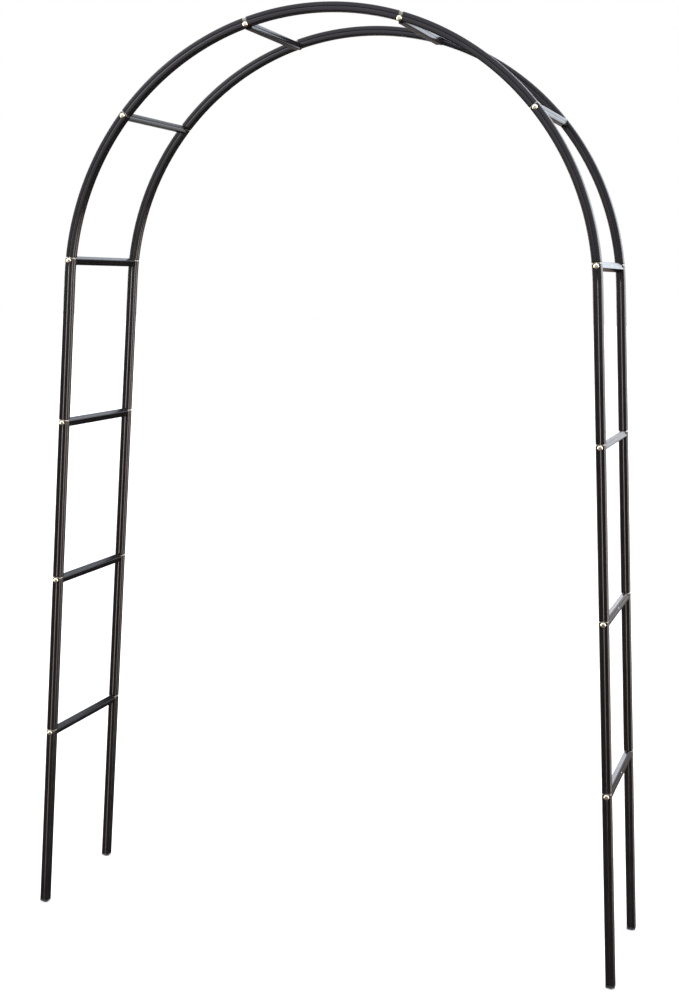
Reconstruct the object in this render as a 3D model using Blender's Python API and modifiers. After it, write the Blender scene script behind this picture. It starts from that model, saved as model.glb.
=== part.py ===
"""A walk-through garden trellis arch of grooved square steel tube, as a knock-down kit.

Two upright frames, front and rear, each follow one centreline: a leg that leans in from
each foot, then a round arch over the top. Each frame is thirteen short tubes. Each tube
has a swaged spigot on the end nearer the foot, which plugs down into the tube below; the
crown tube has a spigot at both ends. A crossbar joins the two frames at every joint, and
a pan-head screw goes through socket and spigot there and into the crossbar's end. One
screw an end lets a bar turn: the rungs stand rolled inwards, and the arch's bars upright.

Metres, +Z up. The origin is on the ground, in the middle of the four feet. X runs across
the opening, and -Y is the front.
"""

import math

import bmesh
import bpy
from mathutils import Matrix, Vector

# Overall shape
FOOT_SPREAD = 1.576
FRAME_DEPTH = 0.375
LEG_LEAN = math.radians(3.17)
FIRST_RUNG = 0.4925
RUNG_SPACING = 0.4277
RUNGS = 4
BEND_BELOW_TOP_RUNG = 0.040
ARCH_TUBES = 5
ARCH_STEPS = 5
CROWN_STEPS = 6

# Tube section
TUBE = 0.023
GROOVE_WIDTH = 0.0050
GROOVE_DEPTH = 0.0009
WALL = 0.0007

# Joints: the socket's edge and the bare length above it, measured from the screw's axis
SOCKET_EDGE = 0.0050
BARE_BAND = 0.0035
CROWN_SOCKET_EDGE = -0.0045
CROWN_BARE_BAND = 0.0090
NECK = 0.0010
SPIGOT_SCALE = 0.90
SPIGOT_REACH = 0.015
CLEARANCE = 0.0003

# Crossbars
CROSSBAR = 0.018
RUNG_ROLL = math.radians(27.0)
CROWN_INSET = 0.006
CROSSBAR_VENT_RADIUS = 0.0020

# Screws
SCREW_HEAD_RADIUS = 0.0065
SCREW_HEAD_TOP_RADIUS = 0.0045
SCREW_HEAD_HEIGHT = 0.0033
SCREW_RIM_HEIGHT = 0.0016
SCREW_RECESS_RADIUS = 0.0018
SCREW_RECESS_DEPTH = 0.0014
SCREW_SHANK_RADIUS = 0.0024
SCREW_REACH = 0.006
SCREW_STEPS = 10
SCREW_HOLE_RADIUS = 0.0028
HOLE_SIDES = 6

# Foot plugs
FOOT_NUB_RADIUS = 0.0050
FOOT_NUB_HEIGHT = 0.0040
FOOT_FLANGE = 0.0050
FOOT_PLUG_SCALE = 0.87
FOOT_PLUG_LENGTH = 0.016
FOOT_NUB_SIDES = 12

MERGE = 0.00001
SHARP = math.radians(15.0)
ROUND_SHARP = math.radians(40.0)
OBJECT_NAME = "metal_trellis_arch"

# The centreline: arc lengths are measured from the foot.
TOP_RUNG = FIRST_RUNG + (RUNGS - 1) * RUNG_SPACING
STRAIGHT = TOP_RUNG - BEND_BELOW_TOP_RUNG
BEND_X = FOOT_SPREAD / 2 - STRAIGHT * math.sin(LEG_LEAN)
ARCH_RADIUS = BEND_X / math.cos(LEG_LEAN)
ARCH_CENTRE_Z = STRAIGHT * math.cos(LEG_LEAN) - ARCH_RADIUS * math.sin(LEG_LEAN)
HALF_LENGTH = STRAIGHT + ARCH_RADIUS * (math.pi / 2 - LEG_LEAN)
ARCH_TUBE = 2 * (HALF_LENGTH - TOP_RUNG) / ARCH_TUBES

BLACK_PAINT = ("black_paint", (0.018, 0.017, 0.018, 1.0), 0.38, 0.0)
BRASS = ("brass_plate", (0.80, 0.72, 0.48, 1.0), 0.30, 1.0)
BLACK_PLASTIC = ("black_plastic", (0.015, 0.015, 0.015, 1.0), 0.55, 0.0)


def clear_scene():
    for obj in list(bpy.data.objects):
        bpy.data.objects.remove(obj, do_unlink=True)


def make_collection(name):
    collection = bpy.data.collections.new(name)
    bpy.context.scene.collection.children.link(collection)
    return collection


def make_material(look):
    name, colour, roughness, metallic = look
    material = bpy.data.materials.get(name)
    if material is None:
        material = bpy.data.materials.new(name)
        material.use_nodes = True
        shader = material.node_tree.nodes["Principled BSDF"]
        shader.inputs["Base Color"].default_value = colour
        shader.inputs["Roughness"].default_value = roughness
        shader.inputs["Metallic"].default_value = metallic
    return material


def centreline(length, side):
    """The point of the left (-1) or right (+1) half, at this arc length from its foot."""
    if length <= STRAIGHT:
        x = FOOT_SPREAD / 2 - length * math.sin(LEG_LEAN)
        z = length * math.cos(LEG_LEAN)
    else:
        turned = LEG_LEAN + (length - STRAIGHT) / ARCH_RADIUS
        x = ARCH_RADIUS * math.cos(turned)
        z = ARCH_CENTRE_Z + ARCH_RADIUS * math.sin(turned)
    return Vector((side * x, 0.0, z))


def lean_at(length, side):
    """The angle of the centreline from the vertical, turned about Y."""
    turned = LEG_LEAN + max(0.0, length - STRAIGHT) / ARCH_RADIUS
    return -side * turned


def joint_centre(joint, side):
    """Where a joint's screws and crossbar sit: on the centreline, but lower at the crown."""
    centre = centreline(joint, side)
    if joint > TOP_RUNG + 1.5 * ARCH_TUBE:
        turned = LEG_LEAN + (joint - STRAIGHT) / ARCH_RADIUS
        centre -= CROWN_INSET * Vector((side * math.cos(turned), 0.0, math.sin(turned)))
    return centre


def make_section(name, width, cutters):
    """A square outline with a shallow groove along the middle of each face."""
    half = width / 2
    lip = GROOVE_WIDTH / 2
    face = [(half, -half), (half, -lip), (half - GROOVE_DEPTH, 0.0), (half, lip)]
    outline = []
    for quarter in range(4):
        turn = Matrix.Rotation(quarter * math.pi / 2, 2)
        outline += [turn @ Vector(point) for point in face]
    curve = bpy.data.curves.new(name, "CURVE")
    curve.dimensions = "2D"
    spline = curve.splines.new("POLY")
    spline.points.add(len(outline) - 1)
    for point, (x, y) in zip(spline.points, outline):
        point.co = (x, y, 0.0, 1.0)
    spline.use_cyclic_u = True
    section = bpy.data.objects.new(name, curve)
    section.hide_render = True
    cutters.objects.link(section)
    return section


def sweep(name, stations, section, capped, parts):
    """A mesh object: the section swept along (x, y, scale) stations in the object's XY plane."""
    curve = bpy.data.curves.new(name, "CURVE")
    curve.dimensions = "2D"
    curve.fill_mode = "NONE"
    curve.bevel_mode = "OBJECT"
    curve.bevel_object = section
    curve.use_fill_caps = capped
    spline = curve.splines.new("POLY")
    spline.points.add(len(stations) - 1)
    for point, (x, y, scale) in zip(spline.points, stations):
        point.co = (x, y, 0.0, 1.0)
        point.radius = scale
    guide = bpy.data.objects.new(name + "_guide", curve)
    parts.objects.link(guide)
    graph = bpy.context.evaluated_depsgraph_get()
    mesh = bpy.data.meshes.new_from_object(guide.evaluated_get(graph))
    bpy.data.objects.remove(guide, do_unlink=True)
    shape = bmesh.new()
    shape.from_mesh(mesh)
    bmesh.ops.remove_doubles(shape, verts=shape.verts, dist=MERGE)
    bmesh.ops.recalc_face_normals(shape, faces=shape.faces)
    shape.to_mesh(mesh)
    shape.free()
    mesh.shade_smooth()
    mesh.set_sharp_from_angle(angle=SHARP)
    mesh.name = name
    obj = bpy.data.objects.new(name, mesh)
    parts.objects.link(obj)
    return obj


def hollow_out(obj):
    solidify = obj.modifiers.new("wall", "SOLIDIFY")
    solidify.thickness = WALL
    solidify.offset = -1.0
    solidify.use_even_offset = True


def boolean(obj, other, operation):
    modifier = obj.modifiers.new(other.name, "BOOLEAN")
    modifier.operation = operation
    modifier.solver = "EXACT"
    modifier.object = other


def make_cylinder(name, radius, depth, sides, cutters):
    """A helper cylinder along Z, centred on its origin."""
    shape = bmesh.new()
    bmesh.ops.create_cone(
        shape, cap_ends=True, segments=sides, radius1=radius, radius2=radius, depth=depth
    )
    mesh = bpy.data.meshes.new(name)
    shape.to_mesh(mesh)
    shape.free()
    cylinder = bpy.data.objects.new(name, mesh)
    cylinder.hide_render = True
    cylinder.display_type = "WIRE"
    cutters.objects.link(cylinder)
    return cylinder


def make_nub(name, side, cutters):
    """The round nub under a leaning leg, cut off level with the ground."""
    shape = bmesh.new()
    bmesh.ops.create_cone(
        shape,
        cap_ends=True,
        segments=FOOT_NUB_SIDES,
        radius1=FOOT_NUB_RADIUS,
        radius2=FOOT_NUB_RADIUS,
        depth=3 * FOOT_NUB_HEIGHT,
    )
    lean = Matrix.Rotation(lean_at(0.0, side), 4, "Y")
    shape.transform(Matrix.Translation(centreline(0.0, side)) @ lean)
    everything = shape.verts[:] + shape.edges[:] + shape.faces[:]
    cut = bmesh.ops.bisect_plane(shape, geom=everything, plane_no=(0, 0, -1), clear_outer=True)
    rim = [part for part in cut["geom_cut"] if isinstance(part, bmesh.types.BMEdge)]
    bmesh.ops.edgenet_fill(shape, edges=rim)
    bmesh.ops.recalc_face_normals(shape, faces=shape.faces)
    mesh = bpy.data.meshes.new(name)
    shape.to_mesh(mesh)
    shape.free()
    mesh.shade_smooth()
    mesh.set_sharp_from_angle(angle=ROUND_SHARP)
    nub = bpy.data.objects.new(name, mesh)
    nub.hide_render = True
    nub.display_type = "WIRE"
    cutters.objects.link(nub)
    return nub


def joint_lengths():
    """Arc lengths from the foot of the joints of one half: four rungs, then two on the arch."""
    legs = [FIRST_RUNG + i * RUNG_SPACING for i in range(RUNGS)]
    arch = [TOP_RUNG + i * ARCH_TUBE for i in range(1, ARCH_TUBES // 2 + 1)]
    return legs + arch


def socket_edge(index):
    """How far past the screw the lower tube ends; at the crown joints it stops short of it."""
    return CROWN_SOCKET_EDGE if index == len(joint_lengths()) - 1 else SOCKET_EDGE


def bare_band(index):
    return CROWN_BARE_BAND if index == len(joint_lengths()) - 1 else BARE_BAND


def run_lengths(start, end, steps):
    """Arc lengths of a tube's stations: its ends, where it bends, and steps round the arch."""
    if end <= STRAIGHT:
        return [start, end]
    if start < STRAIGHT:
        return [start, STRAIGHT, end]
    return [start + (end - start) * i / steps for i in range(steps + 1)]


def half_runs():
    """Station lengths of one half's tubes, from the foot up, then of the crown tube."""
    start = FOOT_NUB_HEIGHT + FOOT_FLANGE + CLEARANCE
    runs = []
    for index, joint in enumerate(joint_lengths()):
        end = joint + socket_edge(index)
        runs.append(run_lengths(start, end, ARCH_STEPS))
        start = end + bare_band(index)
    runs.append(run_lengths(start, 2 * HALF_LENGTH - start, CROWN_STEPS))
    return runs


def tube_stations(lengths, side):
    stations = []
    for length in lengths:
        point = centreline(length, side)
        stations.append((point.x, point.z, 1.0))
    return stations


def spigot_stations(start, joint, below, side):
    """A straight run inside the tube below, from past the screw, then a neck up to the tube."""
    mouth = centreline(below[-1], side)
    along = (mouth - centreline(below[-2], side)).normalized()
    tip = mouth - along * (below[-1] - joint + SPIGOT_REACH)
    neck = centreline(start - NECK, side)
    return [(tip.x, tip.z, SPIGOT_SCALE), (neck.x, neck.z, SPIGOT_SCALE)]


def make_tube(name, stations, section, parent, screw_holes, parts, material):
    tube = sweep(name, stations, section, False, parts)
    stand_up(tube, parent, material)
    hollow_out(tube)
    for hole in screw_holes:
        boolean(tube, hole, "DIFFERENCE")


def make_frame_tubes(frame, parent, section, holes, parts, material):
    """Thirteen tubes: four a leg, two a shoulder, and the crown tube between the shoulders."""
    joints = joint_lengths()
    runs = half_runs()
    crown = []
    for side, side_name in ((-1, "left"), (1, "right")):
        for index, run in enumerate(runs[:-1]):
            stations = tube_stations(run, side)
            if index:
                below = spigot_stations(run[0], joints[index - 1], runs[index - 1], side)
                stations = below + stations
            if index < RUNGS:
                name = f"{frame}_{side_name}_leg_tube_{index + 1}"
            else:
                name = f"{frame}_{side_name}_arch_tube_{index - RUNGS + 1}"
            near = [holes[(side, i)] for i in (index - 1, index) if i >= 0]
            make_tube(name, stations, section, parent, near, parts, material)
        crown.append(spigot_stations(runs[-1][0], joints[-1], runs[-2], side))
    stations = crown[0] + tube_stations(runs[-1], -1) + crown[1][::-1]
    ends = [holes[(side, len(joints) - 1)] for side in (-1, 1)]
    make_tube(f"{frame}_crown_tube", stations, section, parent, ends, parts, material)


def stand_up(obj, parent, material):
    """Turns a piece drawn in its XY plane up into the frame's XZ plane."""
    obj.parent = parent
    obj.rotation_euler = (math.pi / 2, 0.0, 0.0)
    obj.data.materials.clear()
    obj.data.materials.append(material)


def make_screw_holes(cutters):
    """One long cutter a joint, through the front and rear tubes and the crossbar's ends."""
    holes = {}
    depth = FRAME_DEPTH + 2 * TUBE
    for side, side_name in ((-1, "left"), (1, "right")):
        for index, joint in enumerate(joint_lengths()):
            name = f"screw_hole_{side_name}_{index + 1}"
            hole = make_cylinder(name, SCREW_HOLE_RADIUS, depth, HOLE_SIDES, cutters)
            hole.location = joint_centre(joint, side)
            hole.rotation_euler = (math.pi / 2, 0.0, 0.0)
            holes[(side, index)] = hole
    return holes


def make_crossbars(section, holes, parts, cutters, material):
    """Closed-ended bars between the frames, with a screw hole in each end.

    A rung has a small vent hole in its outer face.
    """
    half = FRAME_DEPTH / 2 - TUBE / 2 - CLEARANCE
    for side, side_name in ((-1, "left"), (1, "right")):
        for index, joint in enumerate(joint_lengths()):
            if index < RUNGS:
                name = f"{side_name}_rung_{index + 1}"
                roll = -side * RUNG_ROLL
            else:
                name = f"{side_name}_arch_crossbar_{index - RUNGS + 1}"
                roll = 0.0
            bar = sweep(name, [(-half, 0.0, 1.0), (half, 0.0, 1.0)], section, True, parts)
            bar.location = joint_centre(joint, side)
            bar.rotation_euler = (roll, 0.0, math.pi / 2)
            bar.data.materials.clear()
            bar.data.materials.append(material)
            hollow_out(bar)
            boolean(bar, holes[(side, index)], "DIFFERENCE")
            if index < RUNGS:
                vent = make_cylinder(
                    name + "_vent", CROSSBAR_VENT_RADIUS, CROSSBAR / 2, HOLE_SIDES, cutters
                )
                turn = Matrix.Rotation(roll, 3, "Y")
                outer = turn @ Vector((side * CROSSBAR / 2, 0.0, 0.0))
                vent.location = bar.location + outer
                vent.rotation_euler = (0.0, math.pi / 2 + roll, 0.0)
                boolean(bar, vent, "DIFFERENCE")


def screw_mesh():
    """A pan head with a small round recess, turned about Z, its bearing face at Z = 0."""
    through = TUBE + 2 * CLEARANCE + WALL + SCREW_REACH
    profile = [
        (0.0, SCREW_HEAD_HEIGHT - SCREW_RECESS_DEPTH),
        (SCREW_RECESS_RADIUS, SCREW_HEAD_HEIGHT - SCREW_RECESS_DEPTH),
        (SCREW_RECESS_RADIUS, SCREW_HEAD_HEIGHT),
        (SCREW_HEAD_TOP_RADIUS, SCREW_HEAD_HEIGHT),
        (SCREW_HEAD_RADIUS, SCREW_RIM_HEIGHT),
        (SCREW_HEAD_RADIUS, 0.0),
        (SCREW_SHANK_RADIUS, 0.0),
        (SCREW_SHANK_RADIUS, -through),
        (0.0, -through),
    ]
    shape = bmesh.new()
    points = [shape.verts.new((x, 0.0, z)) for x, z in profile]
    edges = [shape.edges.new(pair) for pair in zip(points, points[1:])]
    bmesh.ops.spin(
        shape,
        geom=points + edges,
        cent=(0.0, 0.0, 0.0),
        axis=(0.0, 0.0, 1.0),
        angle=2 * math.pi,
        steps=SCREW_STEPS,
    )
    bmesh.ops.remove_doubles(shape, verts=shape.verts, dist=MERGE)
    bmesh.ops.recalc_face_normals(shape, faces=shape.faces)
    mesh = bpy.data.meshes.new("screw")
    shape.to_mesh(mesh)
    shape.free()
    mesh.shade_smooth()
    mesh.set_sharp_from_angle(angle=ROUND_SHARP)
    return mesh


def make_screws(frame, facing, parent, parts, material):
    """The four screws a leg of one frame, heads outwards; facing is -1 in front, 1 behind."""
    mesh = screw_mesh()
    mesh.materials.append(material)
    for side, side_name in ((-1, "left"), (1, "right")):
        for index, joint in enumerate(joint_lengths()[:RUNGS]):
            screw = bpy.data.objects.new(f"{frame}_{side_name}_screw_{index + 1}", mesh)
            parts.objects.link(screw)
            screw.parent = parent
            outwards = Vector((0.0, facing * (TUBE / 2 + CLEARANCE), 0.0))
            screw.location = joint_centre(joint, side) + outwards
            screw.rotation_euler = (-facing * math.pi / 2, 0.0, 0.0)


def make_foot_plugs(frame, parent, section, parts, cutters, material):
    """A flange under each leg, a plug up inside it, and a round nub cut off level at the ground."""
    flange_bottom = FOOT_NUB_HEIGHT
    flange_top = FOOT_NUB_HEIGHT + FOOT_FLANGE
    for side, side_name in ((-1, "left"), (1, "right")):
        stations = [(flange_bottom, 1.0), (flange_top, 1.0)]
        stations.append((flange_top + CLEARANCE, FOOT_PLUG_SCALE))
        stations.append((flange_top + FOOT_PLUG_LENGTH, FOOT_PLUG_SCALE))
        placed = []
        for length, scale in stations:
            point = centreline(length, side)
            placed.append((point.x, point.z, scale))
        foot = sweep(f"{frame}_{side_name}_foot_plug", placed, section, True, parts)
        stand_up(foot, parent, material)
        nub = make_nub(foot.name + "_nub", side, cutters)
        nub.parent = parent
        boolean(foot, nub, "UNION")


def main():
    clear_scene()
    parts = make_collection(OBJECT_NAME)
    cutters = make_collection("cutters")
    paint = make_material(BLACK_PAINT)
    brass = make_material(BRASS)
    plastic = make_material(BLACK_PLASTIC)
    tube_section = make_section("tube_section", TUBE, cutters)
    bar_section = make_section("crossbar_section", CROSSBAR, cutters)
    holes = make_screw_holes(cutters)
    for frame, facing in (("front", -1), ("rear", 1)):
        parent = bpy.data.objects.new(frame + "_frame", None)
        parent.location = (0.0, facing * FRAME_DEPTH / 2, 0.0)
        parts.objects.link(parent)
        bpy.context.view_layer.update()
        make_frame_tubes(frame, parent, tube_section, holes, parts, paint)
        make_foot_plugs(frame, parent, tube_section, parts, cutters, plastic)
        make_screws(frame, facing, parent, parts, brass)
    make_crossbars(bar_section, holes, parts, cutters, paint)


main()
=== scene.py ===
import math

import bmesh
import bpy
from mathutils import Matrix, Vector


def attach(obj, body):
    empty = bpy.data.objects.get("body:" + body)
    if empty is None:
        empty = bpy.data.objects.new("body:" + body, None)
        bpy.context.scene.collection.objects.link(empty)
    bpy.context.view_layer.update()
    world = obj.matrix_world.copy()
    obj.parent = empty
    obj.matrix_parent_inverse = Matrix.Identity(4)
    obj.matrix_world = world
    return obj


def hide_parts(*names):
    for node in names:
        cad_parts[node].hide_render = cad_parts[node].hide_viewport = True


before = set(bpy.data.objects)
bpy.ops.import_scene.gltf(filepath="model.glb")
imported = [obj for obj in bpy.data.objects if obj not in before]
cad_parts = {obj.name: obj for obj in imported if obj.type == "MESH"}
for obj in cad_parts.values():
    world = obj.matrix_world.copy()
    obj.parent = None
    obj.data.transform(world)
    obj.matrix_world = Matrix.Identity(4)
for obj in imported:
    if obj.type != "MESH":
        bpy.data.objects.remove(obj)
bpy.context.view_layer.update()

# The looks of the garden trellis arch. Everything is in metres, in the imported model's frame:
# +Z up, X across the opening, -Y the front, the origin on the ground between the four feet.
# A place along a leg or the arch is its length along the centreline, measured from the foot.

FRONT, REAR = -1, 1
LEFT, RIGHT = -1, 1
FRAMES = (("front", FRONT), ("rear", REAR))
SIDES = (("left", LEFT), ("right", RIGHT))

# Overall shape, as in the CAD model
FOOT_SPREAD = 1.576
FRAME_DEPTH = 0.375
LEG_LEAN = math.radians(3.17)
FIRST_RUNG = 0.4925
RUNG_SPACING = 0.4277
RUNGS = 4
BEND_BELOW_TOP_RUNG = 0.040
ARCH_TUBES = 5

# Tubes and their joints, as in the CAD model
TUBE = 0.023
GROOVE_WIDTH = 0.0050
GROOVE_DEPTH = 0.0009
WALL = 0.0007
SOCKET_EDGE = 0.0050
BARE_BAND = 0.0035
CROWN_SOCKET_EDGE = -0.0045
CROWN_BARE_BAND = 0.0090
SPIGOT_SCALE = 0.90
SPIGOT_REACH = 0.015
CLEARANCE = 0.0003

# Crossbars, screws and foot plugs, as in the CAD model
CROSSBAR = 0.018
RUNG_ROLL = math.radians(27.0)
CROWN_INSET = 0.006
VENT_RADIUS = 0.0020
HEAD_RADIUS = 0.0065
HEAD_HEIGHT = 0.0033
SHANK_RADIUS = 0.0024
SCREW_REACH = 0.006
FOOT_NUB_RADIUS = 0.0050
FOOT_NUB_HEIGHT = 0.0040
FOOT_FLANGE = 0.0050
FOOT_PLUG_LENGTH = 0.016

# Finer shape than the CAD model has: tubes and spigots
CORNER_RADIUS = 0.0027
SMALLEST_CORNER = 0.0008
CORNER_STEPS = 6
GROOVE_STEPS = 10
BENT_GROOVE_DEPTH = 0.0003
BENT_GROOVE_EASE = 0.03
STEP = 0.0125
END_HOLD = 0.0012
SPIGOT_SOFTENING = 0.8
SPIGOT_STEPS = 6
SPIGOT_OVERLAP = 0.0015

# Crossbars and their vents
CROSSBAR_CORNER = 0.0016
CROSSBAR_GROOVE_WIDTH = 0.0040
CROSSBAR_GROOVE_DEPTH = 0.0002
VENT_SIDES = 24
VENT_DRILL_REACH = 0.006
VENT_RIM_RADIUS = 0.98 * VENT_RADIUS
VENT_RIM_THICKNESS = 0.0005
VENT_RIM_DEPTH = 0.0012
VENT_RIM_RISE = 0.00015

# Screws
SCREW_SIDES = 40
DOME_STEPS = 9
DOME_FLAT = 0.42
DOME_EDGE_HEIGHT = 0.0013
HEAD_CHAMFER = 0.0003
TIP_LENGTH = 0.0010
TIP_TAPER = 0.0008
RECESS_REACH = 0.0023
RECESS_SLOT = 0.0011
RECESS_DEPTH = 0.0019
RECESS_OVERSHOOT = 0.0006
RECESS_SCALES = (0.5, 1.1)
SCREW_TURN = {"joint": 37.0, "side": 61.0, "frame": 23.0}

# Foot nubs
NUB_SIDES = 32
NUB_OVERLAP = 0.0030

SHARP = math.radians(32.0)
MERGE = 0.000001

# The centreline
TOP_RUNG = FIRST_RUNG + (RUNGS - 1) * RUNG_SPACING
STRAIGHT = TOP_RUNG - BEND_BELOW_TOP_RUNG
BEND_X = FOOT_SPREAD / 2 - STRAIGHT * math.sin(LEG_LEAN)
ARCH_RADIUS = BEND_X / math.cos(LEG_LEAN)
ARCH_CENTRE_Z = STRAIGHT * math.cos(LEG_LEAN) - ARCH_RADIUS * math.sin(LEG_LEAN)
HALF_LENGTH = STRAIGHT + ARCH_RADIUS * (math.pi / 2 - LEG_LEAN)
ARCH_TUBE = 2 * (HALF_LENGTH - TOP_RUNG) / ARCH_TUBES
JOINTS = [FIRST_RUNG + i * RUNG_SPACING for i in range(RUNGS)]
JOINTS += [TOP_RUNG + i * ARCH_TUBE for i in range(1, ARCH_TUBES // 2 + 1)]
CROWN = len(JOINTS) - 1


# ---------------------------------------------------------------- materials

PAINT_CLEAN = (0.0036, 0.0031, 0.0032)
PAINT_DUSTY = (0.0058, 0.0051, 0.0052)
PAINT_RUBBED = (0.034, 0.032, 0.030)
ZINC_BRIGHT = (0.82, 0.79, 0.63)
ZINC_DULL = (0.74, 0.70, 0.50)
ZINC_ROUGHNESS = 0.26
BARE_BRIGHT = (0.36, 0.35, 0.30)
BARE_DULL = (0.26, 0.24, 0.19)
BARE_ROUGHNESS = 0.34
ROUGHNESS_SPREAD = 0.14
PLASTIC_CLEAN = (0.012, 0.012, 0.012)
PLASTIC_SCUFFED = (0.035, 0.034, 0.032)

# A Mix node's sockets for colours
MIX_FIRST, MIX_SECOND, MIX_RESULT = 6, 7, 2


class Nodes:
    """A material's node tree, with its Principled BSDF and short ways to add to it."""

    def __init__(self, name):
        self.material = bpy.data.materials.new(name)
        self.material.use_nodes = True
        self.tree = self.material.node_tree
        self.shader = self.tree.nodes["Principled BSDF"]
        self.place = self.add("ShaderNodeTexCoord").outputs["Object"]

    def add(self, kind, **settings):
        node = self.tree.nodes.new(kind)
        for key, value in settings.items():
            setattr(node, key, value)
        return node

    def link(self, output, socket):
        self.tree.links.new(output, socket)

    def noise(self, scale, detail):
        noise = self.add("ShaderNodeTexNoise")
        noise.inputs["Scale"].default_value = scale
        noise.inputs["Detail"].default_value = detail
        self.link(self.place, noise.inputs["Vector"])
        return noise.outputs["Fac"]

    def spread(self, value, low, high, start=0.3, end=0.7):
        """The value's range start..end spread over low..high."""
        node = self.add("ShaderNodeMapRange")
        node.inputs["From Min"].default_value = start
        node.inputs["From Max"].default_value = end
        node.inputs["To Min"].default_value = low
        node.inputs["To Max"].default_value = high
        self.link(value, node.inputs["Value"])
        return node.outputs["Result"]

    def mix(self, factor, first, second):
        node = self.add("ShaderNodeMix", data_type="RGBA")
        self.link(factor, node.inputs["Factor"])
        for place, value in ((MIX_FIRST, first), (MIX_SECOND, second)):
            if isinstance(value, tuple):
                node.inputs[place].default_value = (*value, 1.0)
            else:
                self.link(value, node.inputs[place])
        return node.outputs[MIX_RESULT]

    def bump(self, height, strength, distance, below=None):
        node = self.add("ShaderNodeBump")
        node.inputs["Strength"].default_value = strength
        node.inputs["Distance"].default_value = distance
        self.link(height, node.inputs["Height"])
        if below is not None:
            self.link(below, node.inputs["Normal"])
        return node.outputs["Normal"]

    def drive(self, socket, value):
        if isinstance(value, (int, float)):
            self.shader.inputs[socket].default_value = value
        else:
            self.link(value, self.shader.inputs[socket])


def black_paint():
    """Satin black powder coat: faint orange peel, patches of dust, edges rubbed a little bare."""
    made = Nodes("satin_black_powder_coat")
    patches = made.spread(made.noise(scale=14.0, detail=5.0), 0.0, 1.0, start=0.42, end=0.68)
    coat = made.mix(patches, PAINT_CLEAN, PAINT_DUSTY)
    edge = made.add("ShaderNodeNewGeometry").outputs["Pointiness"]
    ridge = made.spread(edge, 0.0, 0.5, start=0.53, end=0.60)
    broken = made.spread(made.noise(scale=55.0, detail=4.0), 0.0, 1.0, start=0.50, end=0.70)
    worn = made.add("ShaderNodeMath", operation="MULTIPLY")
    made.link(ridge, worn.inputs[0])
    made.link(broken, worn.inputs[1])
    made.drive("Base Color", made.mix(worn.outputs[0], coat, PAINT_RUBBED))
    made.drive("Roughness", made.spread(made.noise(scale=38.0, detail=6.0), 0.14, 0.22))
    made.drive("Specular IOR Level", 0.5)
    fine = made.noise(scale=820.0, detail=2.0)
    broad = made.noise(scale=30.0, detail=2.0)
    peel = made.bump(fine, strength=0.06, distance=0.0003)
    made.drive("Normal", made.bump(broad, strength=0.08, distance=0.0012, below=peel))
    return made.material


def zinc(name, bright, dull, rough):
    """Yellow zinc plate, a little blotched in colour and gloss."""
    made = Nodes(name)
    blotch = made.spread(made.noise(scale=160.0, detail=4.0), 0.0, 1.0)
    made.drive("Base Color", made.mix(blotch, bright, dull))
    made.drive("Metallic", 1.0)
    streaks = made.noise(scale=240.0, detail=3.0)
    made.drive("Roughness", made.spread(streaks, rough, rough + ROUGHNESS_SPREAD))
    grain = made.noise(scale=1500.0, detail=2.0)
    made.drive("Normal", made.bump(grain, strength=0.12, distance=0.0002))
    return made.material


def black_plastic():
    """Moulded black plastic with a fine spark texture."""
    made = Nodes("moulded_black_plastic")
    scuffs = made.spread(made.noise(scale=90.0, detail=5.0), 0.0, 1.0, start=0.5, end=0.75)
    made.drive("Base Color", made.mix(scuffs, PLASTIC_CLEAN, PLASTIC_SCUFFED))
    made.drive("Roughness", made.spread(made.noise(scale=300.0, detail=3.0), 0.48, 0.62))
    made.drive("Specular IOR Level", 0.4)
    sparks = made.noise(scale=1800.0, detail=2.0)
    made.drive("Normal", made.bump(sparks, strength=0.25, distance=0.0002))
    return made.material


# ---------------------------------------------------------------- shape helpers


def centre_at(length, side):
    """(point, outward normal) on one half's centreline; past the crown it goes on round."""
    if length <= STRAIGHT:
        angle = LEG_LEAN
        x = FOOT_SPREAD / 2 - length * math.sin(LEG_LEAN)
        z = length * math.cos(LEG_LEAN)
    elif length > 2 * HALF_LENGTH - STRAIGHT:
        point, normal = centre_at(2 * HALF_LENGTH - length, side)
        return Vector((-point.x, 0.0, point.z)), Vector((-normal.x, 0.0, normal.z))
    else:
        angle = LEG_LEAN + (length - STRAIGHT) / ARCH_RADIUS
        x = ARCH_RADIUS * math.cos(angle)
        z = ARCH_CENTRE_Z + ARCH_RADIUS * math.sin(angle)
    normal = Vector((side * math.cos(angle), 0.0, math.sin(angle)))
    return Vector((side * x, 0.0, z)), normal


def joint_centre(index, side):
    """Where a joint's screws and crossbar sit: on the centreline, but lower at the crown."""
    centre, outward = centre_at(JOINTS[index], side)
    return centre - CROWN_INSET * outward if index == CROWN else centre


def outline(half, corner, groove_width, groove_depths):
    """Round a square section: each face with a rolled groove, each corner with a radius."""
    points = []
    for quarter, groove_depth in enumerate(groove_depths):
        turn = Matrix.Rotation(quarter * math.pi / 2, 2)
        face = [(half, corner - half)]
        for i in range(GROOVE_STEPS + 1):
            across = (i / GROOVE_STEPS - 0.5) * groove_width
            dip = 0.5 + 0.5 * math.cos(2 * math.pi * across / groove_width)
            face.append((half - groove_depth * dip, across))
        for i in range(CORNER_STEPS):
            angle = i * math.pi / 2 / CORNER_STEPS
            reach = half - corner
            face.append((reach + corner * math.cos(angle), reach + corner * math.sin(angle)))
        points += [turn @ Vector(point) for point in face]
    return points


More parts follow.
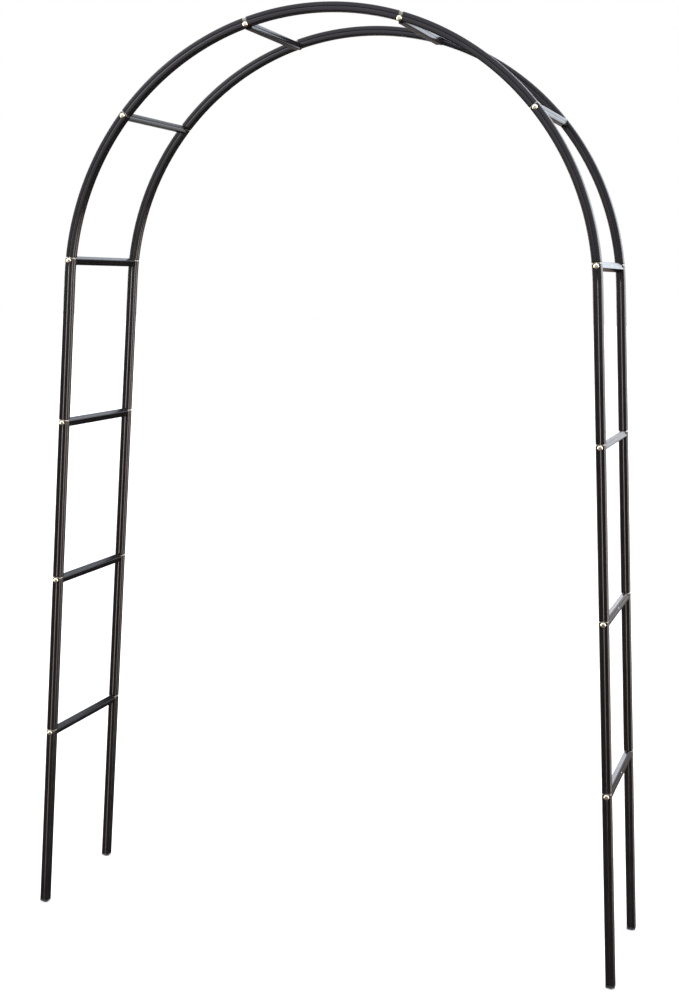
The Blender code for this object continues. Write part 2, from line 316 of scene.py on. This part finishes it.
def tube_outline(inset, length):
    """The tube's section, this far inside its surface; bending flattens two of its grooves."""
    corner = max(CORNER_RADIUS - inset, SMALLEST_CORNER)
    bent = min(max((length - STRAIGHT) / BENT_GROOVE_EASE, 0.0), 1.0)
    flank = GROOVE_DEPTH + (BENT_GROOVE_DEPTH - GROOVE_DEPTH) * bent
    depths = (GROOVE_DEPTH, flank, GROOVE_DEPTH, flank)
    return outline(TUBE / 2 - inset, corner, GROOVE_WIDTH, depths)


def ring_at(length, side, y, section):
    """The section laid square across the centreline, in the frame at this y."""
    centre, outward = centre_at(length, side)
    across = Vector((0.0, 1.0, 0.0))
    middle = centre + y * across
    return [middle + u * outward + v * across for u, v in section]


def tube_ring(length, side, y, inset):
    return ring_at(length, side, y, tube_outline(inset, length))


def loft(name, rings, material, wrap=False):
    """A closed mesh through rings of points: wrapped round on itself, or capped at its ends."""
    mesh = bpy.data.meshes.new(name)
    shape = bmesh.new()
    loops = [[shape.verts.new(point) for point in ring] for ring in rings]
    around = len(rings[0])
    pairs = list(zip(loops, loops[1:]))
    if wrap:
        pairs.append((loops[-1], loops[0]))
    else:
        shape.faces.new(loops[0])
        shape.faces.new(loops[-1])
    for low, high in pairs:
        for i in range(around):
            j = (i + 1) % around
            shape.faces.new((low[i], low[j], high[j], high[i]))
    bmesh.ops.recalc_face_normals(shape, faces=shape.faces)
    shape.to_mesh(mesh)
    shape.free()
    return finish_piece(name, mesh, material)


def finish_piece(name, mesh, material):
    mesh.materials.append(material)
    mesh.shade_smooth()
    mesh.set_sharp_from_angle(angle=SHARP)
    piece = bpy.data.objects.new(name, mesh)
    bpy.context.scene.collection.objects.link(piece)
    return piece


def adopt(piece, slot, *nodes):
    """The piece rides the frame and stands for CAD nodes, which it hides; the slot is not used."""
    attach(piece, "root")
    if nodes:
        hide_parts(*nodes)


def cut(piece, cutter):
    """Takes the cutter's shape out of the piece, and the cutter out of the scene."""
    modifier = piece.modifiers.new("cut", "BOOLEAN")
    modifier.operation = "DIFFERENCE"
    modifier.solver = "EXACT"
    modifier.object = cutter
    graph = bpy.context.evaluated_depsgraph_get()
    mesh = bpy.data.meshes.new_from_object(piece.evaluated_get(graph))
    piece.modifiers.clear()
    piece.data = mesh
    mesh.set_sharp_from_angle(angle=SHARP)
    bpy.data.objects.remove(cutter, do_unlink=True)


def turned(name, profile, steps, material):
    """A closed mesh turned about Z from (radius, height) points, from axis to axis or in a ring."""
    shape = bmesh.new()
    points = [shape.verts.new((r, 0.0, z)) for r, z in profile]
    edges = [shape.edges.new(pair) for pair in zip(points, points[1:])]
    axis = (0.0, 0.0, 1.0)
    bmesh.ops.spin(
        shape, geom=points + edges, cent=(0, 0, 0), axis=axis, angle=math.tau, steps=steps
    )
    bmesh.ops.remove_doubles(shape, verts=shape.verts, dist=MERGE)
    bmesh.ops.recalc_face_normals(shape, faces=shape.faces)
    mesh = bpy.data.meshes.new(name)
    shape.to_mesh(mesh)
    shape.free()
    return finish_piece(name, mesh, material)


# ---------------------------------------------------------------- tubes and spigots


def socket_edge(index):
    return CROWN_SOCKET_EDGE if index == CROWN else SOCKET_EDGE


def bare_band(index):
    return CROWN_BARE_BAND if index == CROWN else BARE_BAND


def runs():
    """(start, end) lengths of one half's tubes from the foot up, then of the crown tube."""
    start = FOOT_NUB_HEIGHT + FOOT_FLANGE + CLEARANCE
    found = []
    for index, joint in enumerate(JOINTS):
        end = joint + socket_edge(index)
        found.append((start, end))
        start = end + bare_band(index)
    found.append((start, 2 * HALF_LENGTH - start))
    return found


# (distance in from the end, inset) pairs round a tube's end, from its outside to its inside
PLAIN_END = ((0.0006, 0.0), (0.0002, 0.00008), (0.0, 0.00028), (0.0, 0.00045), (0.0003, WALL))
NECK_END = (
    (0.0016, 0.0),
    (0.0010, 0.00012),
    (0.0004, 0.00050),
    (0.0, 0.00104),
    (0.0001, 0.00112),
    (0.0025, WALL + 0.0003),
)


def stations(start, end):
    """Lengths between the two, close together round the arch and few on a straight leg.

    One lies just inside each end, so that the end's rounding doesn't shade the whole tube.
    """
    low, high = start + END_HOLD, end - END_HOLD
    found = [low]
    if high > STRAIGHT:
        bend = max(low, STRAIGHT)
        if bend > low:
            found.append(bend)
        count = max(2, round((high - bend) / STEP))
        found += [bend + (high - bend) * i / count for i in range(1, count)]
    return found + [high]


def make_tube(name, start, end, side, y, low_end, high_end, material):
    """One tube: up its outside from the low end, and back down its inside."""
    outside_low = [(start + off, inset) for off, inset in reversed(low_end)]
    outside_high = [(end - off, inset) for off, inset in high_end]
    middle = stations(outside_low[-1][0], outside_high[0][0])
    inside = reversed(stations(outside_low[0][0], outside_high[-1][0]))
    path = outside_low + [(length, 0.0) for length in middle] + outside_high
    path += [(length, outside_high[-1][1]) for length in inside]
    rings = [tube_ring(length, side, y, inset) for length, inset in path]
    return loft(name, rings, material, wrap=True)


def spigot_outline():
    half = SPIGOT_SCALE * TUBE / 2
    corner = CORNER_RADIUS * SPIGOT_SOFTENING
    return outline(half, corner, GROOVE_WIDTH, (GROOVE_DEPTH * SPIGOT_SOFTENING,) * 4)


def make_spigot(name, tip, root, side, y, material):
    """A bare swaged end, from inside its own tube to inside the one below."""
    lengths = [tip + (root - tip) * i / SPIGOT_STEPS for i in range(SPIGOT_STEPS + 1)]
    rings = [ring_at(length, side, y, spigot_outline()) for length in lengths]
    return loft(name, rings, material)


def make_frames(paint, bare):
    """Both frames: each half's tubes from the foot up, the crown tube, then the spigots."""
    half_runs = runs()
    for frame_name, facing in FRAMES:
        y = facing * FRAME_DEPTH / 2
        for side_name, side in SIDES:
            for index, (start, end) in enumerate(half_runs[:-1]):
                if index < RUNGS:
                    node = f"{frame_name}_{side_name}_leg_tube_{index + 1}"
                else:
                    node = f"{frame_name}_{side_name}_arch_tube_{index - RUNGS + 1}"
                low = NECK_END if index else PLAIN_END
                tube = make_tube(node + "_look", start, end, side, y, low, PLAIN_END, paint)
                adopt(tube, "black_paint", node)
        start, end = half_runs[-1]
        node = f"{frame_name}_crown_tube"
        tube = make_tube(node + "_look", start, end, LEFT, y, NECK_END, NECK_END, paint)
        adopt(tube, "black_paint", node)
        for side_name, side in SIDES:
            for index, joint in enumerate(JOINTS):
                root = half_runs[index + 1][0] + SPIGOT_OVERLAP
                name = f"{frame_name}_{side_name}_spigot_{index + 1}"
                spigot = make_spigot(name, joint - SPIGOT_REACH, root, side, y, bare)
                adopt(spigot, "yellow_zinc")


# ---------------------------------------------------------------- crossbars


# (distance in from the end, inset) pairs along a crossbar's rounded end
CROSSBAR_END = ((0.0, 0.0009), (0.0002, 0.00035), (0.0007, 0.0), (0.0007 + END_HOLD, 0.0))


def make_crossbar(name, centre, roll, paint):
    reach = FRAME_DEPTH / 2 - TUBE / 2 - CLEARANCE
    low = [(-reach + off, inset) for off, inset in CROSSBAR_END]
    high = [(reach - off, inset) for off, inset in reversed(CROSSBAR_END)]
    rings = []
    for y, inset in low + high:
        section = outline(
            CROSSBAR / 2 - inset,
            CROSSBAR_CORNER - inset,
            CROSSBAR_GROOVE_WIDTH,
            (CROSSBAR_GROOVE_DEPTH,) * 4,
        )
        rings.append([centre + roll @ Vector((u, y, v)) for u, v in section])
    return loft(name, rings, paint)


def face_along(place, direction):
    """A transform to the place, with +Z turned to the direction."""
    return Matrix.Translation(place) @ direction.to_track_quat("Z", "Y").to_matrix().to_4x4()


def make_vent(name, bar, centre, outer, paint, plate):
    """Drills the vent into the bar's outer face and lines its edge with bare metal."""
    drill = turned("drill", drill_profile(), VENT_SIDES, paint)
    drill.matrix_world = face_along(centre + outer * CROSSBAR / 2, outer)
    bpy.context.view_layer.update()
    cut(bar, drill)
    rim = turned(name, rim_profile(), VENT_SIDES, plate)
    rim.matrix_world = face_along(centre + outer * (CROSSBAR / 2 - CROSSBAR_GROOVE_DEPTH), outer)
    adopt(rim, "yellow_zinc")


def make_crossbars(paint, plate):
    for side_name, side in SIDES:
        for index in range(len(JOINTS)):
            centre = joint_centre(index, side)
            if index < RUNGS:
                node = f"{side_name}_rung_{index + 1}"
                roll = Matrix.Rotation(-side * RUNG_ROLL, 3, "Y")
                bar = make_crossbar(node + "_look", centre, roll, paint)
                outer = roll @ Vector((side, 0.0, 0.0))
                make_vent(node + "_vent_rim", bar, centre, outer, paint, plate)
            else:
                node = f"{side_name}_arch_crossbar_{index - RUNGS + 1}"
                bar = make_crossbar(node + "_look", centre, Matrix.Identity(3), paint)
            adopt(bar, "black_paint", node)


def drill_profile():
    reach = VENT_DRILL_REACH
    return [(0.0, -reach), (VENT_RADIUS, -reach), (VENT_RADIUS, reach), (0.0, reach)]


def rim_profile():
    """The cut edge of the vent, where the bare metal shows."""
    outside = VENT_RIM_RADIUS
    inside = outside - VENT_RIM_THICKNESS
    return [
        (inside, -VENT_RIM_DEPTH),
        (outside, -VENT_RIM_DEPTH),
        (outside, 0.0),
        ((inside + outside) / 2, VENT_RIM_RISE),
        (inside, 0.0),
        (inside, -VENT_RIM_DEPTH),
    ]


# ---------------------------------------------------------------- screws


def screw_profile():
    """A domed head above Z = 0, and a shank that goes through the joint into the crossbar."""
    through = TUBE + 2 * CLEARANCE + WALL + SCREW_REACH
    profile = [(0.0, HEAD_HEIGHT)]
    for i in range(1, DOME_STEPS + 1):
        angle = math.pi / 2 * i / DOME_STEPS
        radius = HEAD_RADIUS * (DOME_FLAT + (1 - DOME_FLAT) * math.sin(angle))
        height = DOME_EDGE_HEIGHT + (HEAD_HEIGHT - DOME_EDGE_HEIGHT) * math.cos(angle)
        profile.append((radius, height))
    profile += [
        (HEAD_RADIUS, HEAD_CHAMFER),
        (HEAD_RADIUS - HEAD_CHAMFER, 0.0),
        (SHANK_RADIUS, 0.0),
        (SHANK_RADIUS, -through + TIP_LENGTH),
        (SHANK_RADIUS - TIP_TAPER, -through),
        (0.0, -through),
    ]
    return profile


def recess_cutter(material):
    """A cross-shaped drive, narrowing as it goes down."""
    rings = []
    half = RECESS_SLOT / 2
    heights = (HEAD_HEIGHT - RECESS_DEPTH, HEAD_HEIGHT + RECESS_OVERSHOOT)
    for height, scale in zip(heights, RECESS_SCALES):
        ring = []
        for quarter in range(4):
            turn = Matrix.Rotation(quarter * math.pi / 2, 4, "Z")
            for x, y in ((RECESS_REACH, -half), (RECESS_REACH, half), (half, half)):
                ring.append(turn @ Vector((scale * x, scale * y, height)))
        rings.append(ring)
    return loft("recess", rings, material)


def screw_twist(index, side, facing):
    """How far a screw is turned, so that no two neighbours' recesses line up."""
    degrees = SCREW_TURN["joint"] * (index + 1)
    degrees += SCREW_TURN["side"] * side + SCREW_TURN["frame"] * facing
    return math.radians(degrees)


def make_screws(plate):
    """A screw at every joint of both frames; the arch's have no node of their own to stand for."""
    head = turned("screw_pattern", screw_profile(), SCREW_SIDES, plate)
    cut(head, recess_cutter(plate))
    pattern = head.data
    bpy.data.objects.remove(head, do_unlink=True)
    for frame_name, facing in FRAMES:
        for side_name, side in SIDES:
            for index in range(len(JOINTS)):
                name = f"{frame_name}_{side_name}_screw_{index + 1}"
                screw = bpy.data.objects.new(name + "_look", pattern.copy())
                bpy.context.scene.collection.objects.link(screw)
                outwards = Vector((0.0, facing * (FRAME_DEPTH / 2 + TUBE / 2 + CLEARANCE), 0.0))
                twist = screw_twist(index, side, facing)
                screw.matrix_world = (
                    Matrix.Translation(joint_centre(index, side) + outwards)
                    @ Matrix.Rotation(-facing * math.pi / 2, 4, "X")
                    @ Matrix.Rotation(twist, 4, "Z")
                )
                adopt(screw, "yellow_zinc", *([name] if index < RUNGS else []))


# ---------------------------------------------------------------- foot plugs


def make_foot_plugs(plastic):
    flange_top = FOOT_NUB_HEIGHT + FOOT_FLANGE
    # (length, inset) up the collar, over its rounded edges, and up the plug inside the tube
    steps = (
        (FOOT_NUB_HEIGHT, 0.0012),
        (FOOT_NUB_HEIGHT + 0.0002, 0.0006),
        (FOOT_NUB_HEIGHT + 0.0009, 0.0),
        (flange_top - 0.0004, 0.0),
        (flange_top, 0.0002),
        (flange_top + 0.0001, 0.0013),
        (flange_top + FOOT_PLUG_LENGTH, 0.0016),
    )
    for frame_name, facing in FRAMES:
        y = facing * FRAME_DEPTH / 2
        for side_name, side in SIDES:
            node = f"{frame_name}_{side_name}_foot_plug"
            rings = [tube_ring(length, side, y, inset) for length, inset in steps]
            plug = loft(node + "_look", rings, plastic)
            adopt(plug, "black_plastic", node)
            nub = turned(node + "_nub_look", nub_profile(), NUB_SIDES, plastic)
            centre, _ = centre_at(0.0, side)
            nub.matrix_world = Matrix.Translation((centre.x, y, 0.0))
            adopt(nub, "black_plastic")


def nub_profile():
    """A short post on the ground, its lower edge rounded, its top inside the collar."""
    top = FOOT_NUB_HEIGHT + NUB_OVERLAP
    return [
        (0.0, 0.0),
        (FOOT_NUB_RADIUS - 0.0006, 0.0),
        (FOOT_NUB_RADIUS - 0.0002, 0.0002),
        (FOOT_NUB_RADIUS, 0.0007),
        (FOOT_NUB_RADIUS, top),
        (0.0, top),
    ]


# ---------------------------------------------------------------- studio

CAMERA_PLACE = Vector((1.2733, -3.8769, 1.7342))
CAMERA_YAW = 0.3175
CAMERA_PITCH = -0.1395
CAMERA_ROLL = 0.0143
LENS_MM = 56.25
SENSOR_MM = 36.0
CLIP_END = 200.0
FLOOR_REACH = 60.0
FLOOR_TONES = ((0.80, 0.80, 0.80), (0.82, 0.82, 0.82))


def make_camera():
    data = bpy.data.cameras.new("camera")
    data.sensor_width = SENSOR_MM
    data.lens = LENS_MM
    data.clip_end = CLIP_END
    camera = bpy.data.objects.new("camera", data)
    bpy.context.scene.collection.objects.link(camera)
    turn = Matrix.Rotation(CAMERA_YAW, 4, "Z")
    tilt = Matrix.Rotation(math.pi / 2 + CAMERA_PITCH, 4, "X")
    roll = Matrix.Rotation(CAMERA_ROLL, 4, "Z")
    camera.matrix_world = Matrix.Translation(CAMERA_PLACE) @ turn @ tilt @ roll
    bpy.context.scene.camera = camera


def make_floor():
    """A very wide pale floor, so that it meets the pale world a long way off."""
    far = FLOOR_REACH
    mesh = bpy.data.meshes.new("studio_floor")
    corners = [(-far, -far, 0), (far, -far, 0), (far, far, 0), (-far, far, 0)]
    mesh.from_pydata(corners, [], [(0, 1, 2, 3)])
    floor = bpy.data.objects.new("studio_floor", mesh)
    bpy.context.scene.collection.objects.link(floor)
    made = Nodes("pale_studio_floor")
    tone = made.spread(made.noise(scale=1.5, detail=2.0), 0.0, 1.0)
    made.drive("Base Color", made.mix(tone, *FLOOR_TONES))
    made.drive("Roughness", 0.9)
    made.drive("Specular IOR Level", 0.1)
    mesh.materials.append(made.material)
    floor.visible_glossy = False


# Light as it comes from each direction: the direction's height (the sine of its elevation)
# and the brightness there, as a part of SKY
SKY = 12.0
FRONT_BANDS = (
    (-1.00, 0.013), (-0.36, 0.010), (-0.04, 0.007), (0.05, 0.066), (0.15, 0.106),
    (0.50, 0.143), (1.00, 0.165),
)
BACK_LEFT_BANDS = (
    (-1.00, 0.005), (-0.36, 0.002), (-0.30, 0.005), (-0.20, 0.008), (-0.14, 0.022),
    (-0.06, 0.017), (0.00, 0.080), (0.03, 0.150), (0.10, 0.170), (0.15, 0.180),
    (0.25, 0.130), (0.50, 0.060), (1.00, 0.165),
)
BACK_RIGHT_BANDS = (
    (-1.00, 0.005), (-0.36, 0.002), (-0.30, 0.005), (-0.20, 0.009), (-0.14, 0.026),
    (-0.06, 0.017), (0.00, 0.040), (0.03, 0.060), (0.10, 0.080), (0.15, 0.210),
    (0.25, 0.160), (0.50, 0.080), (1.00, 0.165),
)
STRIP_BANDS = (
    (-1.00, 0.011), (-0.37, 0.012), (-0.31, 0.600), (-0.15, 0.900), (0.00, 1.000),
    (0.20, 0.800), (0.60, 0.250), (1.00, 0.165),
)
# Four upright strips of light, between these turns from the front or the back (as sines)
STRIP_EDGES = ((0.76, 0.82), (0.975, 0.955))
# Where one part of the tent goes over into the next, along Y and along X
FRONT_TO_BACK = (-0.2, 0.2)
BACK_LEFT_TO_RIGHT = (0.0, 0.35)
# Light is warm from below the horizon, cool from this height up, and neutral between
COOL_FROM = 0.1
WARM = (1.00, 0.85, 0.76)
NEUTRAL = (1.00, 0.98, 1.00)
VIOLET = (0.87, 0.85, 1.00)
BLUE = (0.84, 0.91, 1.00)


def ramp(tree, source, stops, cool):
    """The light's colour by height, between the stops."""
    height = tree.nodes.new("ShaderNodeMapRange")
    height.inputs["From Min"].default_value = -1.0
    height.inputs["From Max"].default_value = 1.0
    tree.links.new(source, height.inputs["Value"])
    node = tree.nodes.new("ShaderNodeValToRGB")
    tree.links.new(height.outputs["Result"], node.inputs["Fac"])
    elements = node.color_ramp.elements
    while len(elements) < len(stops):
        elements.new(0.5)
    for element, (z, bright) in zip(elements, stops):
        tint = cool if z >= COOL_FROM else WARM if z < 0 else NEUTRAL
        element.position = (z + 1) / 2
        element.color = (*(bright * part for part in tint), 1.0)
    return node.outputs["Color"]


def step(tree, source, start, end):
    """0 on the start's side, 1 on the end's, and smooth between the two."""
    node = tree.nodes.new("ShaderNodeMapRange")
    node.interpolation_type = "SMOOTHSTEP"
    node.inputs["From Min"].default_value = start
    node.inputs["From Max"].default_value = end
    tree.links.new(source, node.inputs["Value"])
    return node.outputs["Result"]


def blend(tree, factor, first, second):
    node = tree.nodes.new("ShaderNodeMix")
    node.data_type = "RGBA"
    tree.links.new(factor, node.inputs["Factor"])
    tree.links.new(first, node.inputs[MIX_FIRST])
    tree.links.new(second, node.inputs[MIX_SECOND])
    return node.outputs[MIX_RESULT]


def strips(tree, parts):
    """1 in the upright strips and 0 elsewhere, by the direction's heading alone."""
    level = tree.nodes.new("ShaderNodeCombineXYZ")
    tree.links.new(parts.outputs["X"], level.inputs["X"])
    tree.links.new(parts.outputs["Y"], level.inputs["Y"])
    compass = tree.nodes.new("ShaderNodeVectorMath")
    compass.operation = "NORMALIZE"
    tree.links.new(level.outputs["Vector"], compass.inputs[0])
    heading = tree.nodes.new("ShaderNodeSeparateXYZ")
    tree.links.new(compass.outputs["Vector"], heading.inputs["Vector"])
    sideways = tree.nodes.new("ShaderNodeMath")
    sideways.operation = "ABSOLUTE"
    tree.links.new(heading.outputs["X"], sideways.inputs[0])
    strip = tree.nodes.new("ShaderNodeMath")
    strip.operation = "MULTIPLY"
    for socket, edge in zip(strip.inputs, STRIP_EDGES):
        tree.links.new(step(tree, sideways.outputs[0], *edge), socket)
    return strip.outputs[0]


def tent_light(tree):
    """The colour of the light from every direction: front, back left, back right and strips."""
    place = tree.nodes.new("ShaderNodeTexCoord")
    parts = tree.nodes.new("ShaderNodeSeparateXYZ")
    tree.links.new(place.outputs["Generated"], parts.inputs["Vector"])
    x, y, z = parts.outputs
    front = ramp(tree, z, FRONT_BANDS, VIOLET)
    back_left = ramp(tree, z, BACK_LEFT_BANDS, BLUE)
    back_right = ramp(tree, z, BACK_RIGHT_BANDS, BLUE)
    back = blend(tree, step(tree, x, *BACK_LEFT_TO_RIGHT), back_left, back_right)
    around = blend(tree, step(tree, y, *FRONT_TO_BACK), front, back)
    return blend(tree, strips(tree, parts), around, ramp(tree, z, STRIP_BANDS, NEUTRAL))


def make_world():
    """A tent of light, brightest at its sides and dark by the floor; plain white where seen."""
    world = bpy.data.worlds.new("studio")
    bpy.context.scene.world = world
    world.use_nodes = True
    tree = world.node_tree
    tree.nodes.clear()
    lit = tree.nodes.new("ShaderNodeBackground")
    lit.inputs["Strength"].default_value = SKY
    tree.links.new(tent_light(tree), lit.inputs["Color"])
    seen = tree.nodes.new("ShaderNodeBackground")
    seen.inputs["Color"].default_value = (1.0, 1.0, 1.0, 1.0)
    rays = tree.nodes.new("ShaderNodeLightPath")
    mix = tree.nodes.new("ShaderNodeMixShader")
    tree.links.new(rays.outputs["Is Camera Ray"], mix.inputs["Fac"])
    tree.links.new(lit.outputs["Background"], mix.inputs[1])
    tree.links.new(seen.outputs["Background"], mix.inputs[2])
    output = tree.nodes.new("ShaderNodeOutputWorld")
    tree.links.new(mix.outputs["Shader"], output.inputs["Surface"])


SOFTBOX_RADIANCE = 3.0
SOFTBOX_AIM = Vector((0.0, 0.0, 1.2))
# Name, place, width and height
SOFTBOXES = (
    ("key_softbox", Vector((-2.6, -3.0, 3.6)), 1.4, 1.4),
    ("side_softbox", Vector((3.6, -1.2, 2.8)), 1.0, 1.8),
)


def make_softbox(name, place, width, height):
    light = bpy.data.lights.new(name, "AREA")
    light.shape = "RECTANGLE"
    light.size = width
    light.size_y = height
    light.energy = SOFTBOX_RADIANCE * math.pi * width * height
    softbox = bpy.data.objects.new(name, light)
    softbox.visible_camera = False
    bpy.context.scene.collection.objects.link(softbox)
    softbox.location = place
    softbox.rotation_euler = (SOFTBOX_AIM - place).to_track_quat("-Z", "Y").to_euler()


def make_studio():
    make_camera()
    make_floor()
    make_world()
    for softbox in SOFTBOXES:
        make_softbox(*softbox)
    bpy.context.scene.view_settings.view_transform = "Standard"
    bpy.context.scene.view_settings.look = "None"


def main():
    paint = black_paint()
    plate = zinc("pale_yellow_zinc", ZINC_BRIGHT, ZINC_DULL, ZINC_ROUGHNESS)
    bare = zinc("worn_bare_zinc", BARE_BRIGHT, BARE_DULL, BARE_ROUGHNESS)
    plastic = black_plastic()
    make_frames(paint, bare)
    make_crossbars(paint, plate)
    make_screws(plate)
    make_foot_plugs(plastic)
    make_studio()


main()
